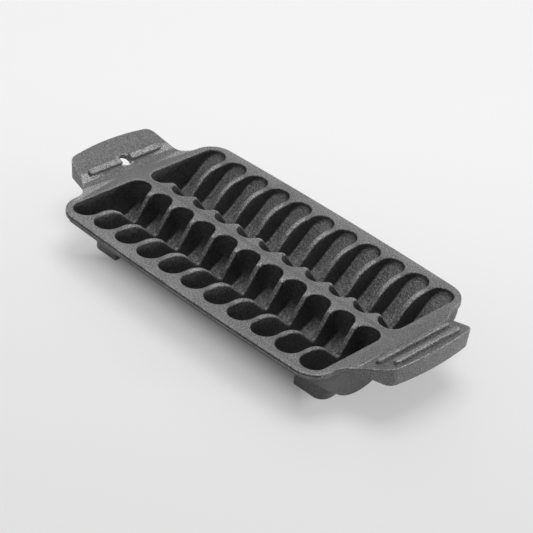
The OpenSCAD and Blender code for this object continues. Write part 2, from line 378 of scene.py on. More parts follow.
def round_edges(piece: bpy.types.Object, radius: float, segments: int, wanted: EdgeTest) -> None:
    """Rounds the edges that pass a test.

    Args:
        piece: The piece to work on.
        radius: How far the rounding reaches on each side of the edge.
        segments: The number of facets across it.
        wanted: Is given the middle of an edge and the normals of its two faces.
    """
    only(piece)
    bpy.ops.object.mode_set(mode="EDIT")
    bpy.ops.mesh.select_mode(type="EDGE")
    bpy.ops.mesh.select_all(action="DESELECT")
    mesh = bmesh.from_edit_mesh(piece.data)
    found = False
    for edge in mesh.edges:
        if len(edge.link_faces) != 2:
            continue
        one, two = (face.normal for face in edge.link_faces)
        middle = (edge.verts[0].co + edge.verts[1].co) / 2
        if wanted(middle, one, two):
            edge.select_set(True)
            found = True
    bmesh.update_edit_mesh(piece.data)
    if found:
        bpy.ops.mesh.bevel(
            offset=radius, segments=segments, affect="EDGES", clamp_overlap=True, loop_slide=True
        )
    bpy.ops.object.mode_set(mode="OBJECT")


def flipped(piece: bpy.types.Object, name: str, along: bool, across: bool) -> bpy.types.Object:
    """Copies a piece as its mirror image, with a mesh of its own.

    Args:
        piece: The piece to copy.
        name: The copy's name.
        along: Mirrors it end for end.
        across: Mirrors it side for side.

    Returns:
        The copy.
    """
    only(piece)
    bpy.ops.object.duplicate(linked=False)
    copy = bpy.context.object
    copy.name = name
    bpy.ops.object.mode_set(mode="EDIT")
    bpy.ops.mesh.select_all(action="SELECT")
    for wish, axis in ((along, 0), (across, 1)):
        if wish:
            bpy.ops.transform.mirror(
                constraint_axis=(axis == 0, axis == 1, False), center_override=(0.0, 0.0, 0.0)
            )
    bpy.ops.mesh.normals_make_consistent(inside=False)
    bpy.ops.object.mode_set(mode="OBJECT")
    return copy


def turn_over(piece: bpy.types.Object, along: bool, across: bool) -> bpy.types.Object:
    """Replaces a piece by its mirror image, under the same name.

    Args:
        piece: The piece, which is used up.
        along: Mirrors it end for end.
        across: Mirrors it side for side.

    Returns:
        The mirror image.
    """
    name = piece.name
    other = flipped(piece, name, along, across)
    bpy.data.objects.remove(piece)
    other.name = name
    return other


def set_down(piece: bpy.types.Object, smooth: float = 40.0) -> None:
    """Finishes a piece: metres, the pan's place on its feet, and smooth shading.

    Args:
        piece: The piece, in millimetres with the deck at height zero.
        smooth: The angle, in degrees, under which neighbouring faces shade as one.
    """
    close_gaps(piece, 1e-4)
    piece.location = (0.0, 0.0, PAN.stand_h / 1000)
    piece.scale = (0.001, 0.001, 0.001)
    bpy.ops.object.transform_apply(location=True, rotation=True, scale=True)
    bpy.ops.object.shade_smooth_by_angle(angle=math.radians(smooth))
    bpy.ops.object.modifier_add(type="WEIGHTED_NORMAL")
    piece.modifiers[-1].keep_sharp = True
    bpy.ops.object.modifier_apply(modifier=piece.modifiers[-1].name)


@dataclass(frozen=True)
class GripShape:
    """The outline and slope that both grips share, given for the plain one."""

    bend_x: float = 137.0
    bend_r: float = 12.0
    slope: float = 21.8
    bow_x: float = 165.09
    bow_r: float = 225.0
    nose: Vector = field(default_factory=lambda: Vector((154.70, 32.09)))
    nose_r: float = 8.0
    root: Vector = field(default_factory=lambda: Vector((146.5, 59.12)))
    root_r: float = 16.0
    taper: float = 14.07
    skirt_t: float = 4.0
    skirt_draft: float = 4.5
    lean_over: float = 6.0
    pocket_x: float = 131.0
    hole_d: float = 10.0
    bar_u: float = 8.4

    @property
    def far_x(self) -> float:
        """A distance along the pan that is clear of the grip's outer edge."""
        return self.bow_x + 9

    @property
    def bow_c(self) -> float:
        """Distance from the middle to the far side's centre of the bowed outer edge."""
        return self.bow_r - self.bow_x

    @property
    def nose_turn(self) -> float:
        """Half the angle that the bowed outer edge spans, in degrees."""
        return math.degrees(math.atan2(self.nose.y, self.nose.x + self.bow_c))

    @property
    def knee_x(self) -> float:
        """Distance along the pan at which the bend starts."""
        return self.bend_x - self.bend_r * math.tan(math.radians(self.slope / 2))

    @property
    def hole_at(self) -> Vector:
        """The middle of the hanging hole, on the sloping face."""
        rise = self.bar_u * math.tan(math.radians(self.slope))
        return Vector((-(self.bend_x + self.bar_u), 0.0, rise))

    def top_at(self, x: float) -> float:
        """Height of the sloping face at a distance along the pan."""
        return (x - self.bend_x) * math.tan(math.radians(self.slope))

    def lean(self, prism: bpy.types.Object) -> bpy.types.Object:
        """Leans the ends of an upright prism out, as the grips' edges lean.

        Args:
            prism: A prism with its walls upright.

        Returns:
            The same prism.
        """
        slope = math.tan(math.radians(self.skirt_draft))
        moves: dict[float, set[int]] = {}
        for vert in prism.data.vertices:
            ease = min(1.0, (abs(vert.co.x) - PAN.deck_x) / self.lean_over)
            if ease > 0.0:
                shift = math.copysign(ease, vert.co.x) * vert.co.z * slope
                moves.setdefault(round(shift, 4), set()).add(vert.index)
        only(prism)
        bpy.ops.object.mode_set(mode="EDIT")
        bpy.ops.mesh.select_mode(type="VERT")
        for shift, chosen in moves.items():
            pick_verts(prism, lambda vert: vert.index in chosen)
            bpy.ops.transform.translate(value=(shift, 0.0, 0.0))
        bpy.ops.object.mode_set(mode="OBJECT")
        return prism

    def hollow(self, end: End) -> bpy.types.Object:
        """Makes the hollow under a grip as a solid.

        Args:
            end: Which grip.

        Returns:
            The far half of the hollow.
        """
        under = -PAN.plate_t
        clear = under - 2
        side = Outline("hollow", Sheet.ALONG, (self.knee_x, clear))
        side.line((self.knee_x, under))
        side.arc((self.knee_x, self.bend_r), self.slope, BEND_STEPS)
        end_z = side.pen.y + (self.far_x - side.pen.x) * math.tan(math.radians(self.slope))
        side.line((self.far_x, end_z))
        side.line((self.far_x, clear))
        tool = side.close(-1.0, 50.0)
        edge_x, middle_y = self.bow_x - self.skirt_t, -3.0
        pen = Outline("inside", Sheet.PLAN, (edge_x, 0.0))
        pen.arc((-self.bow_c, 0.0), self.nose_turn, 4)
        pen.arc(tuple(self.nose), 90 - self.taper - self.nose_turn, 6)
        taper = math.radians(self.taper)
        back = Vector((-math.cos(taper), math.sin(taper)))
        pen.line(tuple(pen.pen + back * ((pen.pen.x - self.pocket_x) / math.cos(taper))))
        pen.line((self.pocket_x, middle_y))
        pen.line((edge_x, middle_y))
        carve(tool, self.lean(pen.close(-20.0, ABOVE)), Cut.KEEP)
        return turn_over(tool, along=True, across=False) if end is End.HANG else tool

    def hole_tool(self) -> bpy.types.Object:
        """Makes the hanging hole as a round rod, square to the sloping face.

        Returns:
            The rod, at the grip with the hole.
        """
        bpy.ops.object.select_all(action="DESELECT")
        turn = (0.0, math.radians(self.slope), 0.0)
        bpy.ops.mesh.primitive_cylinder_add(
            vertices=48, radius=self.hole_d / 2, depth=30.0, location=self.hole_at, rotation=turn
        )
        rod = bpy.context.object
        bpy.ops.object.transform_apply(location=True, rotation=True, scale=True)
        return rod


@dataclass
class PanBody:
    """The deck with its wells, ribs and bowls, and the two grips, cast in one.

    The saddle is the line of a rib's top, and the skin is the bowl's outside.
    """

    sizes: PanSizes = PAN
    grip: GripShape = field(default_factory=GripShape)
    saddle_out: Point = (56.7, -27.0)
    saddle_r_out: float = 27.0
    saddle_easy: float = 45.0
    saddle_root: Point = (25.87, -19.65)
    saddle_r_root: float = 2.0
    saddle_steep: float = 55.0
    saddle_in: Point = (8.5, -7.0)
    skin_in: Point = (19.75, -14.2)
    skin_out: Point = (28.44, 0.4)
    web_d: float = 18.0
    trim: float = 1.3
    sunk: float = 1.0
    draft: float = 5.0
    end_in: float = 0.5
    end_r: float = 3.2
    blank_d: float = 6.0
    above: float = 3.0
    floor_r: float = 2.2
    drop_max: float = 2.6
    wall_y: float = 2.95
    wall_z: float = -1.0
    wall_slope: float = 8.0
    mouth_z: float = -22.5
    mouth_r: float = 1.8
    end_share: float = 0.6
    ease_from: float = -5.0
    ease_over: float = 8.0
    rim_r: float = 0.9
    groove_z: float = 1.15
    groove_h: float = 0.7
    groove_d: float = 0.8
    groove_x: float = 128.0
    flat_area: float = 150.0
    edge_line: float = 1.2
    hole_line: float = 6.0

    def build(self) -> bpy.types.Object:
        """Builds the far half, mirrors it and joins the two.

        Returns:
            The body, in millimetres.
        """
        half = self.plate()
        carve(half, self.skin(), Cut.ADD)
        for end in End:
            carve(half, self.grip.hollow(end), Cut.TAKE)
        carve(half, self.channel(), Cut.TAKE)
        carve(half, self.groove(), Cut.TAKE)
        well = self.well()
        for number in range(self.sizes.wells):
            only(well)
            bpy.ops.object.duplicate(linked=False)
            tool = bpy.context.object
            shift = number * self.sizes.pitch - self.sizes.row_x
            bpy.ops.transform.translate(value=(shift, 0.0, 0.0))
            bpy.ops.object.transform_apply(location=True, rotation=False, scale=False)
            carve(half, tool, Cut.TAKE)
        bpy.data.objects.remove(well)
        LOG.info("rounded %d edges of the body", self.round_off(half))
        self.line_grips(half)
        body = self.join(half)
        carve(body, self.grip.hole_tool(), Cut.TAKE)
        return body

    def plate(self) -> bpy.types.Object:
        """Draws the far half of the plate from the side, and trims it to its outline in plan.

        Returns:
            The half plate, solid under the grips.
        """
        grip = self.grip
        side = Outline("pan_body", Sheet.ALONG, (-grip.far_x, -self.sizes.plate_t))
        side.line((grip.far_x, -self.sizes.plate_t))
        side.line((grip.far_x, grip.top_at(grip.far_x)))
        end_x = grip.knee_x + grip.bend_r * math.sin(math.radians(grip.slope))
        side.line((end_x, grip.top_at(end_x)))
        side.arc((grip.knee_x, grip.bend_r), -grip.slope, BEND_STEPS)
        side.line((-grip.knee_x, 0.0))
        side.arc((-grip.knee_x, grip.bend_r), -grip.slope, BEND_STEPS)
        side.line((-grip.far_x, grip.top_at(grip.far_x)))
        plate = side.close(0.0, self.sizes.deck_y + CLEAR)
        carve(plate, grip.lean(self.plan(0.0)), Cut.KEEP)
        return plate

    def groove(self) -> bpy.types.Object:
        """Makes the fine groove under the deck's top edge, as a thin ring.

        Returns:
            The far half of the ring, between the two grips.
        """
        ring = self.plan(-1.0, -self.groove_z - self.groove_h, -self.groove_z)
        carve(ring, self.plan(self.groove_d), Cut.TAKE)
        for side in (-1.0, 1.0):
            slice_off(ring, Vector((side * self.groove_x, 0.0, 0.0)), Vector((side, 0.0, 0.0)))
        return ring

    def plan(self, inset: float, low: float = BELOW, high: float = ABOVE) -> bpy.types.Object:
        """Draws the far half of the pan's outline in plan, as a prism.

        Args:
            inset: How far the outline is drawn in from the real one.
            low: The height at which the prism starts.
            high: The height at which it ends.

        Returns:
            The prism.
        """
        grip, size = self.grip, self.sizes
        nose, lean = grip.nose_turn, 90 - grip.taper
        tilt = math.degrees(math.asin(size.corner.x / (size.bow_r - size.corner_r)))
        root_at = (-grip.root.x, grip.root.y)
        pen = Outline("outline", Sheet.PLAN, (-grip.bow_x + inset, 0.0))
        pen.arc((grip.bow_c, 0.0), -nose, 4)
        pen.arc((-grip.nose.x, grip.nose.y), -(lean - nose), 8)
        pen.line(on_circle(root_at, grip.root_r + inset, 270 + grip.taper))
        pen.arc(root_at, lean, 10)
        pen.arc((-size.corner.x, size.corner.y), -(90 - tilt), 10)
        pen.arc((0.0, size.deck_y - size.bow_r), -2 * tilt, 24)
        pen.arc((size.corner.x, size.corner.y), -(90 - tilt), 10)
        pen.arc((grip.root.x, grip.root.y), lean, 10)
        pen.line(on_circle(tuple(grip.nose), grip.nose_r - inset, lean))
        pen.arc((grip.nose.x, grip.nose.y), -(lean - nose), 8)
        pen.arc((-grip.bow_c, 0.0), -nose, 4)
        return pen.close(low, high)

    def skin(self) -> bpy.types.Object:
        """Draws the far bowl's outside in section, and trims it to the deck and its end walls.

        Returns:
            The bowl as a full solid, with the web at the spine.
        """
        size = self.sizes
        r_in = size.bowl_r_in + size.wall
        r_out = size.bowl_r_out + size.wall
        cy, cz = self.skin_in
        join = math.degrees(math.atan2(self.skin_out[1] - cz, self.skin_out[0] - cy)) + 180
        web = math.degrees(math.asin((self.web_d + cz) / r_in)) + 180
        pen = Outline("skin", Sheet.ACROSS, (0.0, -self.sunk))
        pen.line((0.0, -self.web_d))
        pen.line(on_circle(self.skin_in, r_in, web))
        pen.arc(self.skin_in, join - web, 14)
        pen.line(on_circle(self.skin_out, r_out, join))
        pen.arc(self.skin_out, 270 + size.bowl_slope - join, 16)
        slope = math.tan(math.radians(size.bowl_slope))
        edge = pen.pen.x + (-size.plate_t - pen.pen.y) / slope
        pen.line((edge, -size.plate_t))
        pen.line((edge, -self.sunk))
        skin = pen.close(-size.deck_x - 1, size.deck_x + 1)
        tilt = math.radians(self.draft)
        for side in (-1, 1):
            face = Vector((side * (size.deck_x - self.end_in), 0.0, -size.plate_t))
            slice_off(skin, face, Vector((side * math.cos(tilt), 0.0, -math.sin(tilt))))
        carve(skin, self.plan(self.trim), Cut.KEEP)
        round_edges(skin, self.end_r, 6, self.at_end_wall)
        return skin

    def channel(self) -> bpy.types.Object:
        """Draws the valley that runs along the ribs' tops, in section.

        Returns:
            The valley as a solid.
        """
        y_in, y_out = self.saddle_in[0], self.saddle_out[0]
        pen = Outline("channel", Sheet.ACROSS, (y_in, self.above))
        pen.line((y_in, 0.0))
        pen.arc(self.saddle_in, -self.saddle_steep, 4)
        turn = self.saddle_steep + self.saddle_easy
        reach = self.saddle_r_root * math.tan(math.radians(turn / 2))
        down = math.radians(self.saddle_steep)
        steep = Vector((math.cos(down), -math.sin(down)))
        start = Vector(self.saddle_root) - steep * reach
        pen.line(tuple(start))
        centre = start + Vector((-steep.y, steep.x)) * self.saddle_r_root
        pen.arc(tuple(centre), turn, 6)
        pen.line(on_circle(self.saddle_out, self.saddle_r_out, 180 - self.saddle_easy))
        pen.arc(self.saddle_out, -self.saddle_easy, 12)
        pen.line((y_out, self.above))
        return pen.close(-self.sizes.row_x, self.sizes.row_x)

    def floor_at(self, y: float) -> float:
        """The height of a well's floor.

        Args:
            y: The distance from the middle line.

        Returns:
            The height, in millimetres from the deck's top.
        """
        size = self.sizes
        cy, cz = self.skin_in
        oy, oz = self.skin_out
        wall = self.wall_z - (y - self.wall_y) * self.wall_slope
        if y < cy - size.bowl_r_in + 0.05:
            return wall
        if y < cy:
            return max(cz - math.sqrt(size.bowl_r_in**2 - (y - cy) ** 2), wall)
        slope = math.radians(size.bowl_slope)
        if y < oy + size.bowl_r_out * math.sin(slope):
            return oz - math.sqrt(size.bowl_r_out**2 - (y - oy) ** 2)
        start = oz - size.bowl_r_out * math.cos(slope)
        return start + (y - oy - size.bowl_r_out * math.sin(slope)) * math.tan(slope)

    def well(self) -> bpy.types.Object:
        """Makes one well as a solid: a slot with round ends, sunk to the bowl's curved floor.

        Returns:
            The well at the middle of the row.
        """
        low, high = self.sizes.ends
        tool = round_slot("well", self.sizes.well_r, low, high).close(-self.blank_d, self.above)
        round_edges(tool, self.floor_r, 4, lambda at, one, two: at.z < 0.1 - self.blank_d)
        reach = self.sizes.well_r - self.floor_r
        turns = [reach * math.cos(math.pi * k / HALF_TURN_STEPS) for k in range(1, 8)]
        stations = [low - turn for turn in turns] + [high + turn for turn in turns]
        stations += [low + (high - low) * k / 22 for k in range(23)]
        only(tool)
        bpy.ops.object.mode_set(mode="EDIT")
        bpy.ops.mesh.select_mode(type="FACE")
        for y in stations:
            pick_faces(tool, lambda face: face.normal.z < -0.05)
            bpy.ops.mesh.bisect(plane_co=(0.0, y, 0.0), plane_no=(0.0, 1.0, 0.0))
        bpy.ops.mesh.select_mode(type="VERT")
        mesh = bmesh.from_edit_mesh(tool.data)
        for y in sorted({round(vert.co.y, 2) for vert in mesh.verts if vert.co.z < 0}):
            pick_verts(tool, lambda vert: vert.co.z < 0 and round(vert.co.y, 2) == y)
            drop = min(self.floor_at(y) + self.blank_d, self.drop_max)
            bpy.ops.transform.translate(value=(0.0, 0.0, drop))
        bpy.ops.object.mode_set(mode="OBJECT")
        return tool

    def round_off(self, half: bpy.types.Object) -> int:
        """Rounds the wells' mouths, widely along the ribs and less on the deck, and the rim.

        Args:
            half: The half body.

        Returns:
            The number of edges rounded.
        """
        mesh = bmesh.new()
        mesh.from_mesh(half.data)
        weight = mesh.edges.layers.float.new("bevel_weight_edge")
        count = 0
        for edge in mesh.edges:
            if len(edge.link_faces) != 2:
                continue
            one, two = (face.normal for face in edge.link_faces)
            middle = (edge.verts[0].co + edge.verts[1].co) / 2
            share = self.share_at(middle, one, two)
            if share:
                edge[weight] = share
                count += 1
        mesh.to_mesh(half.data)
        mesh.free()
        only(half)
        bpy.ops.object.modifier_add(type="BEVEL")
        step = half.modifiers[-1]
        step.limit_method = "WEIGHT"
        step.width = self.mouth_r
        step.segments = 4
        step.use_clamp_overlap = False
        step.loop_slide = False
        bpy.ops.object.modifier_apply(modifier=step.name)
        return count

    def line_grips(self, half: bpy.types.Object) -> None:
        """Draws lines inside each grip's flat and round the hole, so that the edge lightening,
        wear and painted highlight in one, stays at the edges.

        Args:
            half: The half body.
        """
        only(half)
        bpy.ops.object.mode_set(mode="EDIT")
        bpy.ops.mesh.select_mode(type="FACE")
        start = self.sizes.deck_x + CLEAR
        pick_faces(
            half,
            lambda face: abs(face.calc_center_median().x) > start
            and face.normal.z > LEVEL
            and face.calc_area() > self.flat_area,
        )
        bpy.ops.mesh.inset(thickness=self.edge_line)
        slope = math.radians(self.grip.slope)
        along = Vector((math.cos(slope), 0.0, -math.sin(slope)))
        line = self.hole_line
        for reach, way in ((-line, along), (line, along), (line, Vector((0.0, 1.0, 0.0)))):
            pick_faces(
                half,
                lambda face: face.calc_center_median().x < -start and face.normal.z > LEVEL,
            )
            bpy.ops.mesh.bisect(plane_co=self.grip.hole_at + way * reach, plane_no=way)
        bpy.ops.object.mode_set(mode="OBJECT")

    def share_at(self, at: Vector, one: Vector, two: Vector) -> float:
        """Says how widely an edge is rounded: the wells' mouths, and less so the upper rim.

        Args:
            at: The middle of the edge.
            one: The normal of one of its faces.
            two: The normal of the other.

        Returns:
            The share of the widest rounding, or zero for an edge that is left sharp.
        """
        size = self.sizes
        flat, wall = (one, two) if one.z > two.z else (two, one)
        upright = abs(wall.z) < WALL
        inside = abs(at.x) < size.deck_x - 4 and at.y < size.tip_out + 0.5
        flat_along = flat.z > 0.4 and abs(flat.x) < 0.05
        if inside and upright and flat_along and at.z > self.mouth_z:
            low, high = size.ends
            depth = min(at.y - low, high - at.y)
            on_rib = abs(at.x) < size.row_x + 1
            ease = (depth - self.ease_from) / self.ease_over if on_rib else 0.0
            return self.end_share + (1.0 - self.end_share) * max(0.0, min(1.0, ease))
        outside = abs(at.x) > size.deck_x - 18 or at.y > size.tip_out + 4
        if outside and upright and flat.z > LEVEL and at.y > 0.01 and at.z > -0.1:
            return self.rim_r / self.mouth_r
        return 0.0

    def at_end_wall(self, at: Vector, one: Vector, two: Vector) -> bool:
        """Picks the edges between a flat end wall and the bowl's curve."""
        on_bowl = at.z < -self.sizes.plate_t and at.y > 0.1 and one.angle(two) > 0.7
        return on_bowl and max(abs(one.x), abs(two.x)) > 0.9

    @staticmethod
    def join(half: bpy.types.Object) -> bpy.types.Object:
        """Opens a half along the middle, and joins it to its mirror image.

        Args:
            half: The far half.

        Returns:
            The whole body.
        """
        only(half)
        bpy.ops.object.mode_set(mode="EDIT")
        bpy.ops.mesh.select_mode(type="FACE")
        pick_faces(half, lambda face: all(abs(vert.co.y) < 1e-3 for vert in face.verts))
        bpy.ops.mesh.delete(type="ONLY_FACE")
        bpy.ops.object.mode_set(mode="OBJECT")
        other = flipped(half, "near_half", along=False, across=True)
        bpy.ops.object.select_all(action="DESELECT")
        other.select_set(True)
        half.select_set(True)
        bpy.context.view_layer.objects.active = half
        bpy.ops.object.join()
        close_gaps(half, 2e-3)
        return half


@dataclass
class RimBead:
    """The rounded bead under a long edge of the deck, which dies away near the corners."""

    sizes: PanSizes = PAN
    out: float = 0.87
    inset: float = 1.3
    top: float = -1.85
    bottom: float = -4.8
    half_len: float = 119.0
    edge_r: float = 1.2
    taper: float = 9.0

    def build(self) -> bpy.types.Object:
        """Builds the bead of the far edge.

        Returns:
            The bead, in millimetres.
        """
        centre = (0.0, self.sizes.deck_y - self.sizes.bow_r)
        outer, inner = self.sizes.bow_r + self.out, self.sizes.bow_r - self.inset
        tilt = math.degrees(math.asin(self.half_len / outer))
        pen = Outline("bead", Sheet.PLAN, on_circle(centre, outer, 90 - tilt))
        pen.arc(centre, 2 * tilt, 24)
        pen.line(on_circle(centre, inner, 90 + tilt))
        pen.arc(centre, -2 * tilt, 24)
        bead = pen.close(self.bottom, self.top)
        carve(bead, PanBody().plan(-self.out), Cut.KEEP)
        for end in (-1.0, 1.0):
            tip = Vector((end * self.half_len, outer + centre[1] - self.taper, self.top))
            slice_off(bead, tip, Vector((end * 0.7, 0.35, -0.6)))
        round_edges(bead, self.edge_r, 4, self.at_outside)
        return bead

    def at_outside(self, at: Vector, one: Vector, two: Vector) -> bool:
        """Picks the outer edges and the ends' edges."""
        outward = max(one.y, two.y) > LEVEL or max(abs(one.x), abs(two.x)) > LEVEL
        return outward and one.angle(two) > 0.8


@dataclass
class GripBar:
    """A raised bar that keeps a wet thumb from slipping on a grip."""

    grip: GripShape = field(default_factory=GripShape)
    width: float = 5.0
    height: float = 2.7
    sunk: float = 0.6
    edge_r: float = 1.15
    length: float = 69.0
    outer_u: float = 20.0
    outer_length: float = 62.0

    def build(self, name: str, end: End, along: float, length: float) -> bpy.types.Object:
        """Builds one bar on a grip's slope.

        Args:
            name: The bar's name.
            end: Which grip it lies on.
            along: Distance from the bend to the bar's middle line, measured level.
            length: Length over the round ends.

        Returns:
            The bar, in millimetres.
        """
        r = self.width / 2
        bar = round_slot(name, r, r - length / 2, length / 2 - r).close(-self.sunk, self.height)
        round_edges(bar, self.edge_r, 4, lambda at, one, two: at.z > self.height - 0.01)
        only(bar)
        turn = math.radians(self.grip.slope)
        bar.rotation_euler = (0.0, -turn, 0.0)
        bar.location = (self.grip.bend_x + along, 0.0, along * math.tan(turn))
        bpy.ops.object.transform_apply(location=True, rotation=True, scale=True)
        if end is End.HANG:
            bar = turn_over(bar, along=True, across=False)
            carve(bar, self.grip.hole_tool(), Cut.TAKE)
        return bar


@dataclass
class Foot:
    """A short foot cast onto a bowl's outside."""

    sizes: PanSizes = PAN
    at_x: float = 91.7
    length: float = 26.1
    at_y: float = 52.6
    depth: float = 20.0
    knee_y: float = 10.0
    top: Place = (-30.5, -27.0, -21.4)
    corner_r: float = 8.5
    tread_r: float = 0.9

    def build(self) -> bpy.types.Object:
        """Builds the far foot under the plain end, with its top sunk in the bowl's wall.

        Returns:
            The foot, in millimetres.
        """
        base = -self.sizes.stand_h
        inner = self.at_y - self.depth
        pen = Outline("foot", Sheet.ACROSS, (inner, base))
        pen.line((self.at_y, base))
        pen.line((self.at_y, self.top[2]))
        pen.line((inner + self.knee_y, self.top[1]))
        pen.line((inner, self.top[0]))
        foot = pen.close(self.at_x, self.at_x + self.length)
        round_edges(foot, self.corner_r, 10, self.at_corner)
        round_edges(foot, self.tread_r, 3, lambda at, one, two: at.z < base + 0.01)
        return foot

    def at_corner(self, at: Vector, one: Vector, two: Vector) -> bool:
        """Picks the two upright edges at the outer end."""
        upright = abs(one.z) < 0.1 and abs(two.z) < 0.1
        return upright and at.x > self.at_x + self.length - 0.01


class Nodes:
    """The nodes of one new material."""

    def __init__(self, name: str) -> None:
        """Makes the material.

        Args:
            name: Its name.
        """
        self.material = bpy.data.materials.new(name)
        self.material.use_nodes = True
        self.shader = self.material.node_tree.nodes["Principled BSDF"]

    def feed(self, node: bpy.types.Node, inputs: Inputs) -> None:
        """Fills a node's inputs.

        Args:
            node: The node.
            inputs: Its values, and the sockets to link, by the inputs' names.
        """
        for name, value in inputs.items():
            if isinstance(value, bpy.types.NodeSocket):
                self.material.node_tree.links.new(value, node.inputs[name])
            else:
                node.inputs[name].default_value = value

    def add(self, kind: str, inputs: Inputs, **settings: str) -> bpy.types.NodeOutputs:
        """Adds a node.

        Args:
            kind: The kind of node.
            inputs: Its values and links, by the inputs' names.
            settings: Its settings.

        Returns:
            Its outputs.
        """
        node = self.material.node_tree.nodes.new(f"ShaderNode{kind}")
        for name, value in settings.items():
            setattr(node, name, value)
        self.feed(node, inputs)
        return node.outputs

    def sum(self, operation: str, *values: Value) -> bpy.types.NodeSocket:
        """Adds one sum on numbers."""
        return self.add("Math", dict(enumerate(values)), operation=operation)["Value"]

    def noise(self, place: bpy.types.NodeSocket, pattern: Place) -> bpy.types.NodeSocket:
        """Adds spots, given their number per metre, the finer layers and their strength."""
        inputs = dict(zip(("Scale", "Detail", "Roughness"), pattern))
        return self.add("TexNoise", inputs | {"Vector": place})["Fac"]

    def ramp(
        self, value: Value, old: Point, new: Point, kind: str = "LINEAR"
    ) -> bpy.types.NodeSocket:
        """Adds a step from one range of values to another, held at both ends.

        Args:
            value: The value to map.
            old: The two ends of its range.
            new: What the two ends become.
            kind: How it runs between them.

        Returns:
            The mapped value.
        """
        inputs = dict(zip(("From Min", "From Max", "To Min", "To Max"), old + new))
        return self.add("MapRange", inputs | {"Value": value}, interpolation_type=kind)["Result"]


@dataclass(frozen=True)
class CastIron:
    """Bare cast iron with the fine grain of the sand mould."""

    name: str
    dark: Colour
    light: Colour
    shades: Point = (0.4, 0.62)
    cloud: Place = (45.0, 4.0, 0.6)
    cloud_share: float = 0.15
    sand: Place = (1000.0, 3.0, 0.65)
    sand_share: float = 0.85
    sand_depth: float = 0.0006
    pits: Place = (420.0, 2.0, 0.5)
    pit_depth: float = 0.001
    bump: float = 0.7
    roughness: Point = (0.32, 0.48)
    shine: float = 1.0
    # Edges lightened by pointiness: partly worn iron, partly a painted highlight on rims and rib
    # tops.
    worn_and_painted_light: float = 3.0
    worn_and_highlight_over: Point = (0.518, 0.534)
    # Steep faces darkened by the height of their normal: painted shade.
    steep: float = 0.4
    painted_shade_over: Point = (0.15, 0.7)

    def make(self) -> bpy.types.Material:
        """Makes the material.

        Returns:
            The material, with mottled colour, edges lightened by wear and a painted highlight,
            steep faces darkened by painted shade, and a sandy bump.
        """
        nodes = Nodes(self.name)
        place = nodes.add("TexCoord", {})["Object"]
        cloud, sand = nodes.noise(place, self.cloud), nodes.noise(place, self.sand)
        share = nodes.sum("MULTIPLY", cloud, self.cloud_share)
        blend = nodes.sum("MULTIPLY_ADD", sand, self.sand_share, share)
        mottle = nodes.add("ValToRGB", {"Fac": blend})["Color"]
        stops = mottle.node.color_ramp.elements
        for stop, position, shade in zip(stops, self.shades, (self.dark, self.light)):
            stop.position, stop.color = position, shade
        # The colour is scaled up at edges, as wear and painted highlight, and down on steep faces,
        # as painted shade.
        worn_and_painted_light = {0: mottle, "Scale": self.wear_and_painted_light(nodes)}
        pits = nodes.noise(place, self.pits)
        bump = {"Strength": self.bump, "Distance": self.pit_depth, "Height": pits}
        coarse = nodes.add("Bump", bump)["Normal"]
        bump |= {"Distance": self.sand_depth, "Height": sand, "Normal": coarse}
        surface = {
            "Specular IOR Level": self.shine,
            "Base Color": nodes.add("VectorMath", worn_and_painted_light, operation="SCALE")["Vector"],
            "Roughness": nodes.ramp(cloud, (0.0, 1.0), self.roughness),
            "Normal": nodes.add("Bump", bump)["Normal"],
        }
        nodes.feed(nodes.shader, surface)
        return nodes.material

    def wear_and_painted_light(self, nodes: Nodes) -> bpy.types.NodeSocket:
        """Lightens the edges, partly as the wear that hands and cloths rub in and partly as a
        painted highlight, and darkens the steep faces as painted shade.

        Args:
            nodes: The material's nodes.

        Returns:
            The factor that the colour is multiplied by.
        """
        shape = nodes.add("NewGeometry", {})
        facing = nodes.add("SeparateXYZ", {"Vector": shape["Normal"]})["Z"]
        # Edge lightening: wear and a painted highlight in one.
        edge = nodes.ramp(shape["Pointiness"], self.worn_and_highlight_over, (1.0, self.worn_and_painted_light))
        # Steep faces darkened: painted shade.
        return nodes.sum("MULTIPLY", edge, nodes.ramp(facing, self.painted_shade_over, (self.steep, 1.0)))


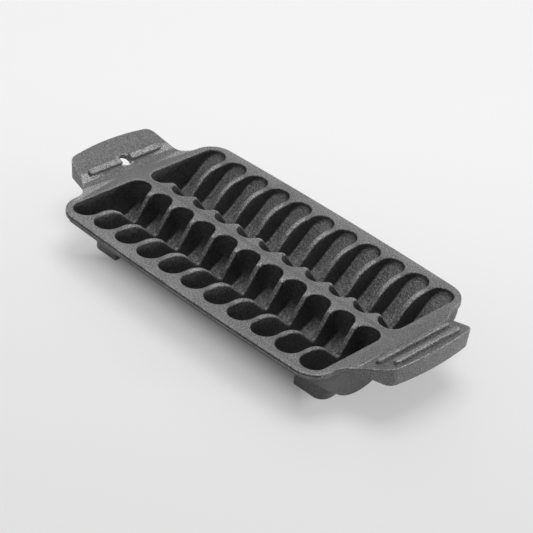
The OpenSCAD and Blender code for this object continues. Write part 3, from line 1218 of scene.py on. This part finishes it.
@dataclass(frozen=True)
class PaleFloor:
    """A plain pale floor that keeps the pan's shadow, deepened by a painted shadow under the pan,
    and grows lighter away from the camera.
    """

    half: float = 3.0
    shade: Colour = (0.42, 0.42, 0.42, 1.0)
    roughness: float = 0.9
    shine: float = 0.1
    glow: Colour = (1.0, 1.0, 1.0, 1.0)
    glow_range: Point = (0.39, 0.52)
    reach: float = 0.45
    # The box under the pan where the glow fades out: a painted shadow.
    painted_shadow_x: float = 0.078
    painted_shadow_y: float = 0.035
    painted_shadow_fade: float = 0.042

    def build(self) -> None:
        """Lays the floor, which is not hung on the pan's root."""
        bpy.ops.object.select_all(action="DESELECT")
        bpy.ops.mesh.primitive_plane_add(size=2 * self.half, location=(0.0, 0.0, 0.0))
        floor = bpy.context.object
        floor.name = "floor"
        nodes = Nodes("pale_floor")
        surface = {
            "Base Color": self.shade,
            "Roughness": self.roughness,
            "Specular IOR Level": self.shine,
            "Emission Color": self.glow,
            "Emission Strength": self.strength(nodes),
        }
        nodes.feed(nodes.shader, surface)
        floor.data.materials.append(nodes.material)

    def strength(self, nodes: Nodes) -> bpy.types.NodeSocket:
        """Makes the floor look paler than the light it throws back, and fades that glow under the
        pan into a painted shadow.

        Args:
            nodes: The material's nodes.

        Returns:
            The strength of the glow.
        """
        place = nodes.add("SeparateXYZ", {"Vector": nodes.add("TexCoord", {})["Object"]})
        depth = nodes.sum("SUBTRACT", place["Y"], place["X"])
        glow = nodes.ramp(depth, (-self.reach, self.reach), self.glow_range, "SMOOTHSTEP")
        path = nodes.add("LightPath", {})
        seen = nodes.sum("MAXIMUM", path["Is Camera Ray"], path["Is Glossy Ray"])
        seen = nodes.sum("MAXIMUM", seen, path["Is Transmission Ray"])
        # Painted shadow: the glow fades out under the pan, leaving the floor dark there.
        beyond = [
            nodes.sum("SUBTRACT", nodes.sum("ABSOLUTE", side), half)
            for side, half in ((place["X"], self.painted_shadow_x), (place["Y"], self.painted_shadow_y))
        ]
        away = nodes.sum("MAXIMUM", *beyond)
        clear = nodes.ramp(away, (0.0, self.painted_shadow_fade), (0.0, 1.0), "SMOOTHSTEP")
        return nodes.sum("MULTIPLY", nodes.sum("MULTIPLY", seen, glow), clear)


@dataclass(frozen=True)
class Lamp:
    """A soft round lamp that points at the pan, in metres and watts."""

    name: str
    at: Place
    size: float
    power: float

    def hang(self) -> None:
        """Hangs the lamp."""
        bpy.ops.object.select_all(action="DESELECT")
        bpy.ops.object.light_add(type="AREA", location=self.at)
        lamp = bpy.context.object
        lamp.name = self.name
        lamp.data.shape = "DISK"
        lamp.data.size = self.size
        lamp.data.energy = self.power
        lamp.rotation_euler = (-Vector(self.at)).to_track_quat("-Z", "Y").to_euler()


@dataclass(frozen=True)
class Studio:
    """Soft studio light and the camera."""

    lamps: tuple[Lamp, ...] = (
        Lamp("key", (0.05, 0.2, 1.9), 1.3, 19.0),
        Lamp("back", (-1.2, 1.2, 1.3), 1.3, 5.0),
        Lamp("right", (1.45, 1.0, 0.15), 0.3, 11.0),
        Lamp("front", (-0.4, -1.6, 0.9), 1.0, 1.5),
    )
    sky: Colour = (0.9, 0.9, 0.9, 1.0)
    sky_strength: float = 0.36
    camera_at: Place = (0.75999, -0.80371, 0.75876)
    camera_turn: Place = (56.2883, -4.5799, 46.1470)
    lens: float = 127.91
    sensor: float = 36.0

    def build(self) -> None:
        """Sets the lamps, the world and the camera."""
        for lamp in self.lamps:
            lamp.hang()
        world = bpy.data.worlds.new("studio")
        world.use_nodes = True
        background = world.node_tree.nodes["Background"]
        background.inputs["Color"].default_value = self.sky
        background.inputs["Strength"].default_value = self.sky_strength
        bpy.context.scene.world = world
        bpy.context.scene.view_settings.view_transform = "Standard"
        bpy.ops.object.select_all(action="DESELECT")
        turn = tuple(math.radians(angle) for angle in self.camera_turn)
        bpy.ops.object.camera_add(location=self.camera_at, rotation=turn)
        camera = bpy.context.object
        camera.data.lens = self.lens
        camera.data.sensor_width = self.sensor
        bpy.context.scene.camera = camera


@dataclass
class GrillPan:
    """The whole pan: body, beads, bars and feet, with their finishes."""

    top: CastIron = CastIron("iron_top", (0.012, 0.012, 0.0122, 1.0), (0.19, 0.19, 0.191, 1.0))
    # The under iron is the top iron with a darker pale stop: painted shade on the beads and feet
    # under the deck.
    under: CastIron = CastIron("iron_body", (0.012, 0.012, 0.0122, 1.0), (0.1, 0.1, 0.101, 1.0))

    def build(self) -> None:
        """Builds and dresses every piece."""
        top, under = self.top.make(), self.under.make()
        shell = ["deck_plate", "spine_web", "bowl_near", "bowl_far"]
        ribs = [f"rib_{side.value}_{n:02d}" for side in Side for n in range(1, PAN.wells)]
        walls = [f"end_wall_{end.value}_{side.value}" for end in End for side in Side]
        grips = [f"grip_{end.value}_{part}" for end in End for part in ("plate", "skirt")]
        self.dress(PanBody().build(), top, "iron_top", shell + ribs + walls + grips)
        bead = RimBead().build()
        for side in Side:
            copy = flipped(bead, f"bead_{side.value}", False, side is Side.NEAR)
            self.dress(copy, under, "iron_body", [f"rim_bead_{side.value}"])
        bpy.data.objects.remove(bead)
        self.build_bars(top)
        foot = Foot().build()
        for end in End:
            for side in Side:
                where = f"{end.value}_{side.value}"
                copy = flipped(foot, f"foot_cast_{where}", end is End.HANG, side is Side.NEAR)
                self.dress(copy, under, "iron_body", [f"foot_{where}"])
        bpy.data.objects.remove(foot)

    def build_bars(self, finish: bpy.types.Material) -> None:
        """Builds the grips' bars. The hole cuts the one beside it in two.

        Args:
            finish: Their material.
        """
        bar = GripBar()
        inner_u = bar.grip.bar_u
        hang = bar.build("bars_hang", End.HANG, inner_u, bar.length)
        self.dress(hang, finish, "iron_top", ["grip_hang_bar_near", "grip_hang_bar_far"])
        inner = bar.build("bar_plain_inner", End.PLAIN, inner_u, bar.length)
        self.dress(inner, finish, "iron_top", ["grip_plain_bar_inner"])
        outer = bar.build("bar_plain_outer", End.PLAIN, bar.outer_u, bar.outer_length)
        self.dress(outer, finish, "iron_top", ["grip_plain_bar_outer"])

    @staticmethod
    def dress(
        piece: bpy.types.Object, finish: bpy.types.Material, slot: str, nodes: list[str]
    ) -> None:
        """Sets a piece down, gives it its finish, hangs it on the root and hides the nodes that it
        stands for.

        Args:
            piece: The piece, in millimetres.
            finish: Its material.
            slot: The name of its material slot in the record; not used.
            nodes: The nodes that it stands for.
        """
        set_down(piece)
        piece.data.materials.clear()
        piece.data.materials.append(finish)
        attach(piece, "root")
        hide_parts(*nodes)
        faces = len(piece.data.polygons)
        LOG.info("%s: %d faces, stands for %d nodes", piece.name, faces, len(nodes))


def main() -> None:
    """Builds the pan, the floor and the studio."""
    logging.basicConfig(level=logging.INFO, format="%(message)s")
    GrillPan().build()
    PaleFloor().build()
    Studio().build()


if __name__ == "__main__":
    main()
